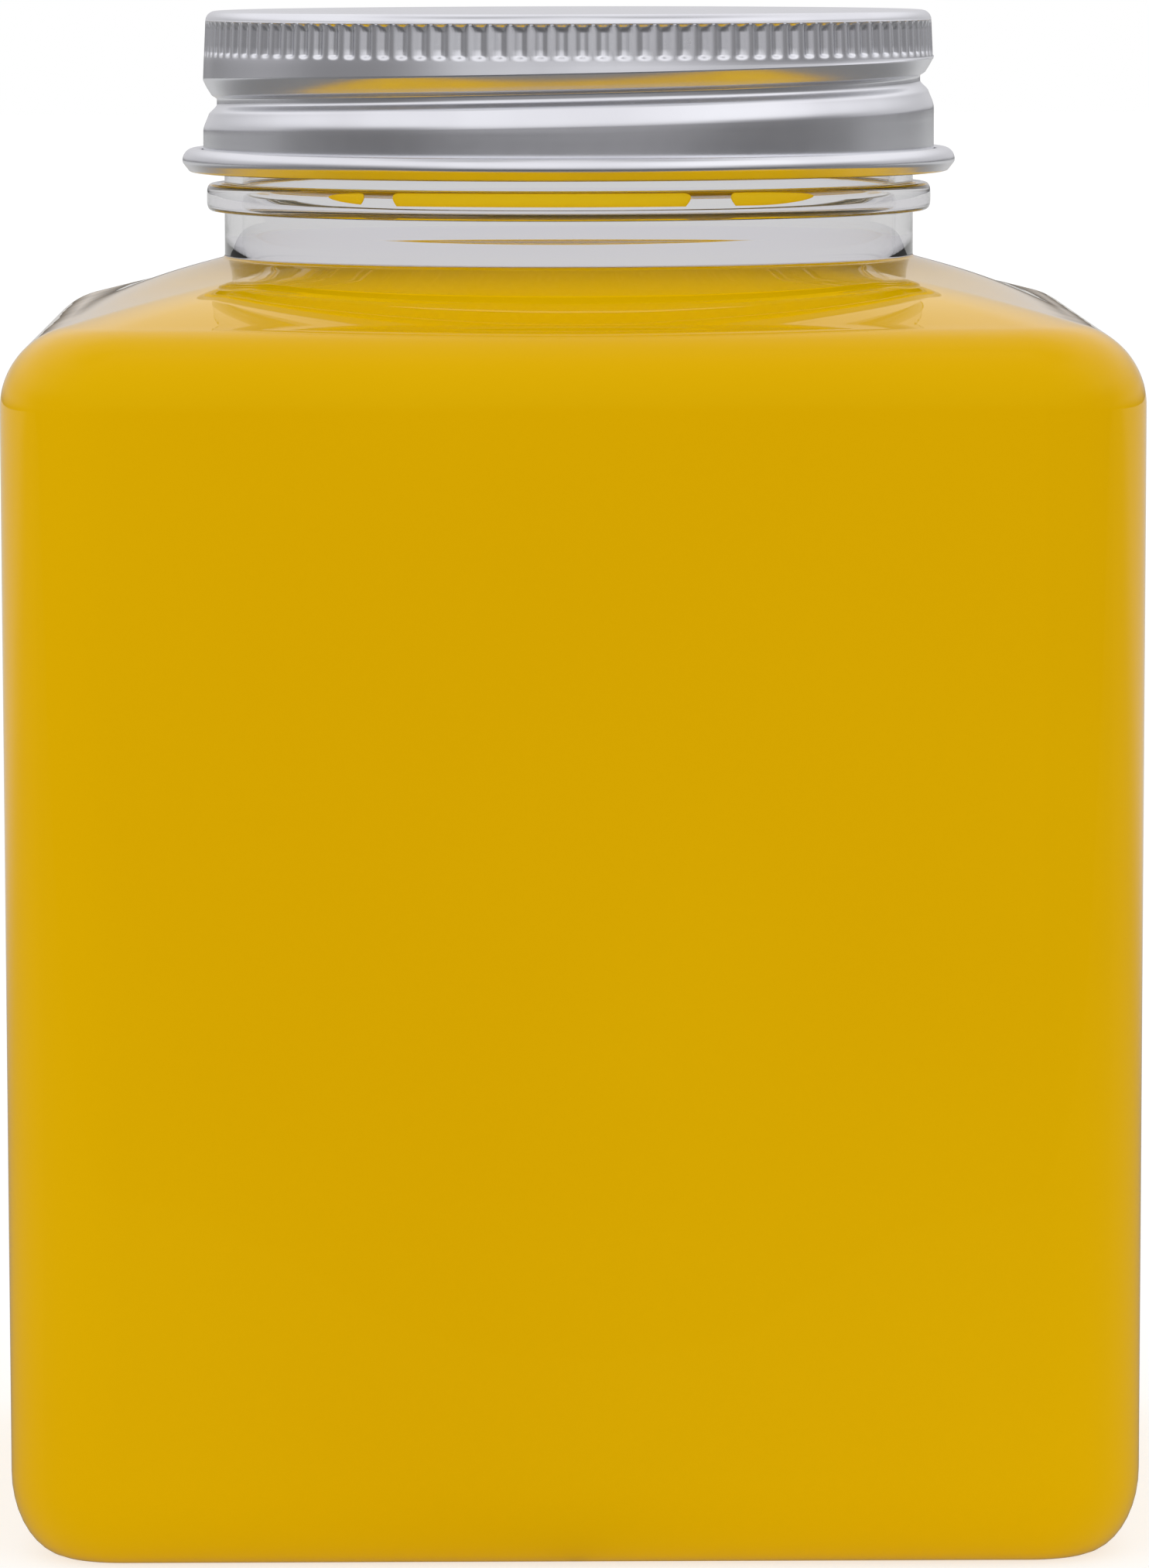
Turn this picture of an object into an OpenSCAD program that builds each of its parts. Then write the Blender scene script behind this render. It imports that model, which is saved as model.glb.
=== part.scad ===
// Wide-mouth square jar with a rolled aluminium screw lid, filled to the neck.
// Origin at the middle of the foot, Z up, the front face looks along -Y.

/* [Body] */
// Width of the body across its flat sides, at the shoulder
body_w = 100; // [85:1:130]
// Width across the flat sides just above the foot rounding
base_w = 99.3; // [84:0.1:129]
// Height of the root of the neck above the foot
body_h = 112.6; // [80:0.2:160]
// Plan radius of the four upright corners
corner_r = 10; // [8.5:0.5:16]
// Radius that turns the sides into the shoulder
shoulder_r = 7.2; // [4:0.2:8]
// Fall of the shoulder from the root of the neck to the edge rounding
shoulder_drop = 4.4; // [1:0.1:8]
// Height of the rounding round the foot
foot_round_h = 7.5; // [4:0.5:10]
// Width of the rounding round the foot
foot_round_w = 5; // [3:0.5:7.5]
// Blown wall of the body
wall = 0.9; // [0.6:0.1:1.6]

/* [Push-up base] */
// Diameter of the push-up in the middle of the base
pushup_d = 61; // [30:1:74]
// Height of the push-up dome
pushup_h = 4; // [2:0.5:8]

/* [Neck finish] */
// Diameter of the plain neck wall
neck_d = 62.7; // [50:0.1:70]
// Wall of the moulded neck
neck_wall = 1.6; // [1.2:0.1:2.4]
// Height of the sealing rim above the root of the neck
neck_h = 20.8; // [19:0.1:28]
// Rounding of both edges of the sealing rim
rim_round = 0.5; // [0.2:0.05:0.55]
// Fillet between the neck and the shoulder
neck_fillet = 1.2; // [0.5:0.1:2]
// Diameter of the ring bead below the lid
bead_d = 65.9; // [64.5:0.1:72]
// Height of the ring bead
bead_h = 2.5; // [1.5:0.1:3.5]
// Height of the middle of the ring bead above the root of the neck
bead_z = 5.7; // [4:0.1:6.5]

/* [Thread] */
// Lead of the right-hand thread, one turn
lead = 4.23; // [3.6:0.01:5.08]
// Height of the moulded ridge above the neck wall
ridge_h = 1; // [0.8:0.05:1.2]
// Width of the ridge at its root
ridge_root_w = 2.2; // [1.6:0.1:2.4]
// Width of the ridge at its crest
ridge_crest_w = 0.8; // [0.5:0.1:1]
// Axial step from the rolled groove of the lid up to the ridge of the neck
thread_step = 1.45; // [1.4:0.01:1.8]
// Angle that the moulded ridge runs round the neck
ridge_turn = 300; // [240:5:310]

/* [Lid] */
// Sheet of the lid
sheet = 0.3; // [0.2:0.05:0.4]
// Radial clearance between the ridge crest and the inside of the lid
lid_clearance = 0.6; // [0.55:0.05:0.8]
// Height of the lid from its rolled rim to its top
lid_h = 14.6; // [14:0.1:18]
// Radius of the pressed top edge
lid_edge_r = 0.9; // [0.6:0.1:1.2]
// Depth of the rolled thread groove
groove_depth = 1.25; // [0.8:0.05:1.3]
// Reach of the rolled groove above its middle
groove_half_w = 1.4; // [1:0.05:1.5]
// Reach of the rolled groove below its middle, a long roll that turns into the skirt
groove_low_w = 2.7; // [1.4:0.1:3]
// Depth of the middle of the groove below the lid top, where it starts at the back
groove_start_depth = 9.3; // [9:0.1:10.5]
// Angle that the rolled groove runs round the lid
groove_turn = 310; // [240:5:320]
// Outer radius of the curled rim in section
curl_r = 1.1; // [0.8:0.05:1.3]

/* [Knurls] */
// Number of upright flutes round the top band
knurl_count = 114; // [60:1:140]
// Depth of a flute
knurl_depth = 0.3; // [0.15:0.05:0.3]
// Upright length of the flutes
knurl_h = 3.1; // [2:0.1:3.4]

/* [Liner and contents] */
// Thickness of the foam wad in the lid
liner_t = 1.3; // [0.8:0.1:1.6]
// Radial gap between the wad and what is narrowest round it in the lid
liner_gap = 0.1; // [0.05:0.05:1]
// Height of the liquid level above the root of the neck
fill_above_root = 0.1; // [-20:0.1:12]
// Skin left free between the liquid and the wall
fill_gap = 0.1; // [0.05:0.01:0.2]

/* [Hidden] */
eps = 0.01;
// Reach of a cutter past the form that it cuts
over = 1;
// Small step that keeps the edges of two joined forms from falling on each other
lap = 0.05;
round_fn = 120;
form_fn = 36;

// Neck and thread, worked out upwards from the root of the neck
neck_r = neck_d / 2;
bore_r = neck_r - neck_wall;
rim_z = body_h + neck_h;
crest_r = neck_r + ridge_h;

// Lid, worked out from the thread that it covers and the rim that it seals on
lid_in_r = crest_r + lid_clearance;
lid_r = lid_in_r + sheet;
lid_top_z = rim_z + liner_t + sheet;
lid_low_z = lid_top_z - lid_h;
curl_z = lid_low_z + curl_r;
curl_mid_r = lid_in_r + curl_r;
curl_open_angle = 120;
knurl_in_r = lid_in_r - knurl_depth;
knurl_margin = 0.1;
knurl_top_z = lid_top_z - lid_edge_r - knurl_margin;
knurl_low_z = knurl_top_z - knurl_h;
skirt_low_z = curl_z + 1.2 * curl_r;
liner_r = lid_in_r - max(knurl_depth, lid_edge_r - sheet) - liner_gap;

// Helix that both threads follow: the groove starts behind the lid, on the right
groove_start_angle = 100;
groove_start_z = lid_top_z - groove_start_depth;
groove_fade = 38;
ridge_start_angle = groove_start_angle;
ridge_fade = 24;
groove_columns = 90;
groove_rows = 8;
ridge_step_angle = 5;

function smooth(t) = let (u = min(1, max(0, t))) u * u * (3 - 2 * u);
function polar(r, a, z) = [r * cos(a), r * sin(a), z];

// Rise of the helix after it has turned through an angle
function rise(turned) = lead * turned / 360;

// Weight of a thread form: nothing at both its ends, full between them
function fade(turned, total, run) =
    smooth(turned / run) * smooth((total - turned) / run);

// Middle height of the rolled groove, and back down to its start behind the lid
function groove_z(turned) = groove_start_z + (turned <= groove_turn
    ? rise(turned)
    : rise(groove_turn) * (1 - smooth((turned - groove_turn) / (360 - groove_turn))));

function groove_weight(turned) = fade(turned, groove_turn, groove_fade);

// Share of its full reach that the groove has, narrow where it fades
function groove_spread(turned) = 0.35 + 0.65 * groove_weight(turned);

// One upright line of the rolled groove as [radius inset, height] pairs, going up
function groove_line(turned) = let (
        mid = groove_z(turned),
        above = groove_half_w * groove_spread(turned),
        below = groove_low_w * groove_spread(turned),
        deep = groove_depth * groove_weight(turned)
    ) concat(
        [[0, (skirt_low_z + mid - below) / 2]],
        [for (i = [0 : groove_rows]) let (u = 2 * i / groove_rows - 1)
            [deep * pow(cos(90 * u), 2), mid + (u < 0 ? below : above) * u]]
    );

// Solid of revolution built from sections that change with the angle
module swept_ring(sections) {
    columns = len(sections);
    rows = len(sections[0]);
    points = [for (c = [0 : columns - 1]) for (p = sections[c])
        polar(p[0], 360 * c / columns, p[1])];
    faces = [for (c = [0 : columns - 1]) for (r = [0 : rows - 1]) let (
            c2 = (c + 1) % columns,
            r2 = (r + 1) % rows,
            a = c * rows + r,
            b = c2 * rows + r,
            d = c2 * rows + r2,
            e = c * rows + r2
        ) each [[a, e, d], [a, d, b]]];
    polyhedron(points = points, faces = faces, convexity = 6);
}

// Moulded ridge that runs up round a wall on the helix, with tapered ends
module helical_ridge(r, start_z, start_angle, total) {
    crest = ridge_crest_w / 2;
    flank = (ridge_root_w - ridge_crest_w) / 2 / ridge_h;
    steps = round(total / ridge_step_angle);
    sink = 0.5;
    function ring(i) = let (
            turned = total * i / steps,
            full = fade(turned, total, ridge_fade),
            tall = ridge_h * full - sink / 2 * (1 - full),
            foot = crest + flank * (tall + sink),
            z = start_z + rise(turned),
            a = start_angle + turned
        ) [polar(r - sink, a, z - foot), polar(r + tall, a, z - crest),
           polar(r + tall, a, z + crest), polar(r - sink, a, z + foot)];
    sides = 4;
    points = [for (i = [0 : steps]) each ring(i)];
    faces = concat(
        [[for (k = [0 : sides - 1]) k]],
        [for (i = [0 : steps - 1]) for (k = [0 : sides - 1]) let (
                k2 = (k + 1) % sides,
                a = i * sides + k,
                b = i * sides + k2,
                c = (i + 1) * sides + k2,
                d = (i + 1) * sides + k
            ) each [[a, d, c], [a, c, b]]],
        [[for (k = [sides - 1 : -1 : 0]) steps * sides + k]]
    );
    polyhedron(points = points, faces = faces, convexity = 6);
}

// One upright corner of the body, from the foot rounding to the shoulder rounding
module corner_post(inset, low, top) {
    r = corner_r - inset;
    top_r = shoulder_r - inset;
    foot_w = foot_round_w - inset;
    foot_h = foot_round_h - low;
    lean = (body_w - base_w) / 2;
    side = body_w / 2 - corner_r;
    translate([side, side, top - shoulder_r])
        rotate_extrude($fn = form_fn)
            intersection() {
                union() {
                    translate([r - top_r, 0]) circle(r = top_r);
                    square([r - top_r, top_r]);
                }
                square([r, top_r]);
            }
    translate([side - lean, side - lean, foot_round_h])
        rotate_extrude($fn = form_fn)
            intersection() {
                union() {
                    translate([r - foot_w, 0]) scale([1, foot_h / foot_w]) circle(r = foot_w);
                    translate([0, -foot_h]) square([r - foot_w, foot_h]);
                }
                translate([0, -foot_h]) square([r, foot_h]);
            }
}

// Closed form of the body with its sloping shoulder, drawn in by an inset
module body_form(inset, low) {
    edge_z = body_h - shoulder_drop;
    disc_h = 0.5;
    hull() {
        for (sx = [0, 1]) for (sy = [0, 1])
            mirror([sx, 0, 0]) mirror([0, sy, 0]) corner_post(inset, low, edge_z);
        translate([0, 0, body_h - inset - disc_h])
            cylinder(r = neck_r + neck_fillet + disc_h - inset, h = disc_h, $fn = 2 * form_fn);
    }
}

// Dome of the push-up, a cap of a ball
module pushup_cap(rise_h, d) {
    cap_r = (pow(d / 2, 2) + pow(rise_h, 2)) / (2 * rise_h);
    rotate_extrude($fn = round_fn)
        intersection() {
            translate([0, rise_h - cap_r]) circle(r = cap_r, $fn = round_fn);
            translate([0, -eps]) square([d / 2 + over, rise_h + over]);
        }
}

// Space inside the jar, from the floor up to a level in the neck
module inside(gap, level_z) {
    difference() {
        body_form(wall + gap, wall + gap);
        pushup_cap(pushup_h + wall + gap, pushup_d + 2 * (wall + gap));
        if (level_z < body_h)
            translate([-body_w, -body_w, level_z]) cube([2 * body_w, 2 * body_w, body_h]);
    }
    if (level_z > body_h - wall - gap)
        translate([0, 0, body_h - shoulder_drop - wall])
            cylinder(r = bore_r - gap, h = level_z - body_h + shoulder_drop + wall, $fn = round_fn);
}

// Upright section of the neck finish: wall, root fillet, ring bead and rim
module neck_section() {
    bead_out = bead_d / 2 - neck_r;
    under = shoulder_drop + wall;
    difference() {
        union() {
            translate([bore_r, body_h - under]) square([neck_wall, neck_h + under - rim_round]);
            translate([bore_r + rim_round, body_h]) square([neck_wall - 2 * rim_round, neck_h]);
            for (x = [bore_r + rim_round, neck_r - rim_round])
                translate([x, rim_z - rim_round]) circle(r = rim_round);
            translate([neck_r + bead_out / 2, body_h + bead_z])
                scale([1, bead_h / bead_out]) circle(r = bead_out / 2);
            translate([neck_r - eps, body_h + bead_z - bead_h / 2]) square([bead_out / 2, bead_h]);
            translate([neck_r - eps, body_h - neck_fillet / 2])
                square([neck_fillet + eps, 1.5 * neck_fillet - lap]);
        }
        translate([neck_r + neck_fillet, body_h + neck_fillet - lap]) circle(r = neck_fillet);
    }
}

// Jar: one blown shell with a moulded neck
module jar() {
    color([0.86, 0.86, 0.85, 0.5])
        difference() {
            union() {
                body_form(0, 0);
                rotate_extrude($fn = round_fn) neck_section();
                helical_ridge(neck_r, groove_start_z + thread_step, ridge_start_angle, ridge_turn);
            }
            inside(0, body_h);
            translate([0, 0, body_h - shoulder_drop - wall])
                cylinder(r = bore_r, h = neck_h + shoulder_drop + wall + over, $fn = round_fn);
            translate([0, 0, -eps]) pushup_cap(pushup_h, pushup_d);
        }
}

// Contents: the liquid that fills the jar up to the root of the neck
module liquid() {
    color([0.85, 0.67, 0.02]) inside(fill_gap, body_h + fill_above_root);
}

// Curled rim of the lid: the sheet rolled outwards, open towards the skirt
module curled_rim() {
    reach = 3 * curl_r;
    rotate_extrude($fn = round_fn) {
        translate([curl_mid_r, curl_z])
            difference() {
                circle(r = curl_r, $fn = form_fn);
                circle(r = curl_r - sheet, $fn = form_fn);
                polygon([[0, 0], reach * [cos(curl_open_angle), sin(curl_open_angle)],
                         reach * [-1, 1], reach * [-1, 0]]);
            }
        translate([lid_in_r, curl_z]) square([sheet, skirt_low_z - curl_z + lap]);
    }
}

// Skirt between the rim and the knurls, with the helical thread rolled into it
module threaded_skirt() {
    swept_ring([for (c = [0 : groove_columns - 1]) let (
            a = 360 * c / groove_columns,
            line = groove_line((a - groove_start_angle + 360) % 360),
            n = len(line)
        ) concat(
            [[lid_r + lap, skirt_low_z]],
            [for (p = line) [lid_r - p[0], p[1]]],
            [[lid_r + lap, knurl_low_z], [knurl_in_r - 2 * lap, knurl_low_z]],
            [for (i = [n - 1 : -1 : 0]) [lid_in_r - line[i][0], line[i][1]]],
            [[lid_in_r - 2 * lap, skirt_low_z]]
        )]);
}

// Outline of the fluted band, four points to a flute
function knurl_outline() = [for (i = [0 : 4 * knurl_count - 1]) let (
        a = 90 * i / knurl_count,
        r = lid_r - lap - knurl_depth * (1 + cos(90 * i)) / 2
    ) [r * cos(a), r * sin(a)]];

// Band of upright flutes under the top edge
module knurled_band() {
    translate([0, 0, knurl_low_z - lap])
        linear_extrude(height = knurl_h + 2 * lap)
            difference() {
                polygon(knurl_outline());
                circle(r = knurl_in_r, $fn = round_fn);
            }
}

// Half section of a plug with a rounded upper edge
module rounded_top(r, edge_r, low, top) {
    translate([0, low])
        intersection() {
            union() {
                square([r - edge_r, top - low]);
                square([r, top - low - edge_r]);
                translate([r - edge_r, top - low - edge_r]) circle(r = edge_r, $fn = form_fn);
            }
            square([r, top - low]);
        }
}

// Top panel and its pressed edge
module top_panel() {
    rotate_extrude($fn = round_fn) {
        difference() {
            rounded_top(lid_r, lid_edge_r, knurl_top_z, lid_top_z);
            rounded_top(lid_in_r, lid_edge_r - sheet, knurl_top_z - sheet, lid_top_z - sheet);
        }
        translate([knurl_in_r - lap, knurl_top_z])
            square([lid_in_r - knurl_in_r + 2 * lap, knurl_margin]);
    }
}

// Lid: one aluminium pressing, knurled, thread-rolled and curled
module lid() {
    color([0.72, 0.72, 0.74])
        union() {
            top_panel();
            knurled_band();
            threaded_skirt();
            curled_rim();
        }
}

// Foam wad that seals the lid on the rim of the neck
module lid_liner() {
    color([0.93, 0.93, 0.9])
        translate([0, 0, rim_z])
            cylinder(r = liner_r, h = liner_t, $fn = round_fn);
}

jar();
liquid();
lid();
lid_liner();
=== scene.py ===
"""Clear square jar of yellow liquid under a rolled aluminium screw lid.

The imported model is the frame. Smooth shells stand for its faceted nodes at the
same sizes, ride on the same bodies and carry the finishes. Lengths in the
classes are millimetres and become metres where a vertex is placed.
"""

import logging
import math
from collections.abc import Callable, Sequence
from dataclasses import dataclass, field
from enum import Enum

import bmesh
import bpy
from mathutils import Matrix, Vector


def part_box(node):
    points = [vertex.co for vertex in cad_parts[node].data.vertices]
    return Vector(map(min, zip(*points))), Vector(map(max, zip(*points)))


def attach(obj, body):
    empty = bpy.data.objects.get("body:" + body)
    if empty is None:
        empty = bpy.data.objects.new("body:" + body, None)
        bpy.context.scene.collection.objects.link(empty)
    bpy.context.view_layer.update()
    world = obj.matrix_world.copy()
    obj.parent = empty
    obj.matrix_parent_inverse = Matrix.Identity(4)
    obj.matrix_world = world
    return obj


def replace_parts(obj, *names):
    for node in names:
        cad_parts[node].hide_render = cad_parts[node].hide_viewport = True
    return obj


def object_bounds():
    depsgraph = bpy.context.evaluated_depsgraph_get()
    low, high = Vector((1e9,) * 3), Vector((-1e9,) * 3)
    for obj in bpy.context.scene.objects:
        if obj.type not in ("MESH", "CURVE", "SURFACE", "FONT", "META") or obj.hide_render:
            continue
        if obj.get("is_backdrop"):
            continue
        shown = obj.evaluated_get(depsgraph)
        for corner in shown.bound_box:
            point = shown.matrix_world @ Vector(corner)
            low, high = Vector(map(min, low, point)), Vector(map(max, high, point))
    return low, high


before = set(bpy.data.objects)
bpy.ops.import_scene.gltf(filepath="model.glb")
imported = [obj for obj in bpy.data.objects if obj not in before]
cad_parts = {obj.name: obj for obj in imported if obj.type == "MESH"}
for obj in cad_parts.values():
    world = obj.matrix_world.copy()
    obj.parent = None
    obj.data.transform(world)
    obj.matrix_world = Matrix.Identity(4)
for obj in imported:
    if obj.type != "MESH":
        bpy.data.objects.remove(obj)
CAD_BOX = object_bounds()

LOG = logging.getLogger("jar")
MM = 0.001
GROOVE_BELOW_TOP = 9.3


class Body(Enum):
    """The bodies of the frame that pieces ride on."""

    JAR = "filled_jar"
    WAD = "wad_carriage"
    LID = "screw_lid"


class Slot(Enum):
    """The record's material slots."""

    CLEAR = "clear_pet"
    LIQUID = "yellow_liquid"
    METAL = "lid_aluminium"
    FOAM = "liner_foam"


def ease(t: float) -> float:
    """Returns a smooth step from 0 to 1 as t goes from 0 to 1."""
    u = min(1.0, max(0.0, t))
    return u * u * (3.0 - 2.0 * u)


def between(a: float, b: float, t: float) -> float:
    """Returns the value a share t of the way from a to b."""
    return a + (b - a) * t


def spaced(a: float, b: float, count: int) -> list[float]:
    """Returns count steps from a to b, without a itself."""
    return [between(a, b, i / count) for i in range(1, count + 1)]


def arc(cx: float, cz: float, rx: float, rz: float, start: float, stop: float,
        count: int) -> list[tuple[float, float]]:
    """Points of an elliptical arc in a half section, without its first point.

    Args:
        cx: distance of its centre from the axis.
        cz: height of its centre.
        rx: half width.
        rz: half height.
        start: first angle in degrees, from the outward direction.
        stop: last angle in degrees.
        count: number of steps.

    Returns:
        (distance, height) pairs.
    """
    turns = [math.radians(a) for a in spaced(start, stop, count)]
    return [(cx + rx * math.cos(t), cz + rz * math.sin(t)) for t in turns]


def at(r: float, direction: float, z: float) -> Vector:
    """Returns the point at a distance from the axis, a direction in radians and a height."""
    return Vector((r * math.cos(direction), r * math.sin(direction), z))


class Wire:
    """An output socket that Python's operators can work on."""

    def __init__(self, graph: "Graph", socket: bpy.types.NodeSocket) -> None:
        """Keeps the graph and the socket."""
        self.graph = graph
        self.socket = socket

    def _math(self, operation: str, first: "Wire | float", second: "Wire | float") -> "Wire":
        """Returns the result of a Math node on two values."""
        return self.graph.wire("ShaderNodeMath", {"operation": operation}, {0: first, 1: second})

    def __add__(self, other: "Wire | float") -> "Wire":
        """Returns self + other."""
        return self._math("ADD", self, other)

    __radd__ = __add__

    def __sub__(self, other: "Wire | float") -> "Wire":
        """Returns self - other."""
        return self._math("SUBTRACT", self, other)

    def __rsub__(self, other: "Wire | float") -> "Wire":
        """Returns other - self."""
        return self._math("SUBTRACT", other, self)

    def __mul__(self, other: "Wire | float") -> "Wire":
        """Returns self * other."""
        return self._math("MULTIPLY", self, other)

    __rmul__ = __mul__

    def __truediv__(self, other: "Wire | float") -> "Wire":
        """Returns self / other."""
        return self._math("DIVIDE", self, other)

    def __neg__(self) -> "Wire":
        """Returns 0 - self."""
        return self._math("SUBTRACT", 0.0, self)

    def power(self, other: float) -> "Wire":
        """Returns self to a power."""
        return self._math("POWER", self, other)

    def most(self, other: "Wire | float") -> "Wire":
        """Returns the larger of two values."""
        return self._math("MAXIMUM", self, other)

    def over(self, level: float) -> "Wire":
        """Returns 1 where self is above a level, else 0."""
        return self._math("GREATER_THAN", self, level)

    def step(self, low: float, high: float, start: float = 0.0, stop: float = 1.0) -> "Wire":
        """Smooth step of this value.

        Args:
            low: value at which the step starts.
            high: value at which it ends.
            start: result below the step.
            stop: result above it.

        Returns:
            The stepped value.
        """
        return self.graph.wire(
            "ShaderNodeMapRange", {"interpolation_type": "SMOOTHSTEP"},
            {"Value": self, "From Min": low, "From Max": high, "To Min": start, "To Max": stop})


class Graph:
    """Adds nodes to one tree and links what they are given."""

    def __init__(self, tree: bpy.types.NodeTree, is_world: bool = False) -> None:
        """Empties the tree, which is a material's or the world's."""
        self.tree = tree
        self.is_world = is_world
        tree.nodes.clear()

    def node(self, kind: str, settings: dict | None = None,
             inputs: dict | None = None) -> bpy.types.Node:
        """Adds a node.

        Args:
            kind: the node's type.
            settings: its properties, set before its sockets.
            inputs: values or wires by socket name or index.

        Returns:
            The new node.
        """
        made = self.tree.nodes.new(kind)
        for name, value in (settings or {}).items():
            setattr(made, name, value)
        for name, value in (inputs or {}).items():
            if isinstance(value, Wire):
                self.tree.links.new(value.socket, made.inputs[name])
            else:
                made.inputs[name].default_value = value
        return made

    def wire(self, kind: str, settings: dict | None = None, inputs: dict | None = None,
             output: int | str = 0) -> Wire:
        """Adds a node and returns one of its outputs as a Wire."""
        return Wire(self, self.node(kind, settings, inputs).outputs[output])

    def colour(self, share: "Wire | float", first: "Wire | tuple", second: "Wire | tuple") -> Wire:
        """Returns a mix of two colours by a share."""
        return self.wire("ShaderNodeMix", {"data_type": "RGBA"},
                         {0: share, 6: first, 7: second}, output=2)

    def noise(self, where: Wire, scale: float, detail: float) -> Wire:
        """Returns a noise of about 0 to 1 at places given by a vector."""
        return self.wire("ShaderNodeTexNoise", None,
                         {"Vector": where, "Scale": scale, "Detail": detail})

    def place(self) -> Wire:
        """Returns the Object coordinates."""
        return self.wire("ShaderNodeTexCoord", output="Object")

    def scaled(self, where: Wire, factors: tuple[float, float, float]) -> Wire:
        """Returns a vector times three factors."""
        return self.wire("ShaderNodeVectorMath", {"operation": "MULTIPLY"}, {0: where, 1: factors})

    def parts(self, vector: Wire) -> list[Wire]:
        """Returns the three numbers of a vector."""
        made = self.node("ShaderNodeSeparateXYZ", None, {0: vector})
        return [Wire(self, output) for output in made.outputs]

    def bump(self, height: Wire, distance: float) -> Wire:
        """Returns a normal bent by a height, with the height's reach in metres."""
        return self.wire("ShaderNodeBump", None,
                         {"Height": height, "Distance": distance, "Strength": 1.0},
                         output="Normal")

    def principled(self, **inputs: "Wire | float | tuple") -> Wire:
        """Returns a Principled shader, with spaces in socket names written as underscores."""
        named = {name.replace("_", " "): value for name, value in inputs.items()}
        return self.wire("ShaderNodeBsdfPrincipled", None, named)

    def surface(self, shader: Wire) -> None:
        """Makes a shader the surface of the material or the world."""
        kind = "World" if self.is_world else "Material"
        self.node(f"ShaderNodeOutput{kind}", None, {"Surface": shader})


def new_material(name: str) -> tuple[bpy.types.Material, Graph]:
    """Returns a new node material and the graph of its tree."""
    made = bpy.data.materials.new(name)
    made.use_nodes = True
    return made, Graph(made.node_tree)


@dataclass(frozen=True)
class ClearPlastic:
    """Clear blown plastic, slightly uneven as blown walls are."""

    tint: tuple[float, float, float, float] = (0.965, 0.962, 0.96, 1.0)
    gloss_tint: tuple[float, float, float, float] = (0.42, 0.36, 0.03, 1.0)
    roughness: float = 0.015
    ior: float = 1.53
    wave_scale: float = 28.0
    wave_detail: float = 2.0
    wave_reach: float = 0.00012

    def build(self) -> bpy.types.Material:
        """Returns the material."""
        made, graph = new_material("clear_blown_plastic")
        waves = graph.noise(graph.place(), self.wave_scale, self.wave_detail)
        clear = graph.principled(
            Base_Color=self.tint, Roughness=self.roughness, IOR=self.ior,
            Specular_Tint=self.gloss_tint, Transmission_Weight=1.0,
            Normal=graph.bump(waves, self.wave_reach))
        open_way = graph.wire("ShaderNodeBsdfTransparent")
        scattered = graph.wire("ShaderNodeLightPath", output="Is Diffuse Ray")
        graph.surface(graph.wire("ShaderNodeMixShader", None, {0: scattered, 1: clear, 2: open_way}))
        return made


@dataclass(frozen=True)
class YellowLiquid:
    """Opaque yellow liquid, matt where the wall wets it and glossy on its free surface."""

    light: tuple[float, float, float, float] = (0.775, 0.442, 0.0006, 1.0)
    deep: tuple[float, float, float, float] = (0.765, 0.428, 0.0004, 1.0)
    # high: painted light, a brighter tone laid on the shoulder near the neck to offset the shade there
    high: tuple[float, float, float, float] = (0.90, 0.535, 0.0008, 1.0)
    # film: brighter than the liquid's own colour, painted light that offsets the shade under the lid's curl
    film_painted_light: tuple[float, float, float, float] = (0.95, 0.70, 0.02, 1.0)
    painted_light_run: tuple[float, float] = (0.1075, 0.1115)
    painted_light_share: float = 0.8
    cloud_scale: float = 16.0
    cloud_detail: float = 2.0
    cloud_run: tuple[float, float] = (0.35, 0.65)
    free_roughness: float = 0.03
    free_ior: float = 1.47

    def _tone(self, graph: Graph) -> Wire:
        """Returns the colour, with faint slow clouds, and painted light: brighter near the neck, offsetting
        the shade that the lid and neck cast on the shoulder.
        """
        place = graph.place()
        clouds = graph.noise(place, self.cloud_scale, self.cloud_detail).step(*self.cloud_run)
        # Painted light: the tone is lifted towards high above the shoulder's start, in place of light the lid
        # and neck shade off
        high = graph.parts(place)[2].step(*self.painted_light_run) * self.painted_light_share
        return graph.colour(high, graph.colour(clouds, self.deep, self.light), self.high)

    def _matt(self, graph: Graph, tone: "Wire | tuple") -> None:
        """Makes a matt surface of a colour."""
        graph.surface(graph.principled(Base_Color=tone, Roughness=1.0, Specular_IOR_Level=0.0))

    def wetted(self) -> bpy.types.Material:
        """Returns the material of the sides and the floor."""
        made, graph = new_material("yellow_liquid_wetted")
        self._matt(graph, self._tone(graph))
        return made

    def thin(self) -> bpy.types.Material:
        """Returns the material of the thin trace that clings to the wall, brighter than the liquid as painted
        light against the shade under the lid's curl.
        """
        made, graph = new_material("yellow_liquid_trace")
        self._matt(graph, self.film_painted_light)
        return made

    def free(self) -> bpy.types.Material:
        """Returns the material of the free surface in the neck."""
        made, graph = new_material("yellow_liquid_free_surface")
        graph.surface(graph.principled(
            Base_Color=self._tone(graph), Roughness=self.free_roughness, IOR=self.free_ior))
        return made


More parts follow.
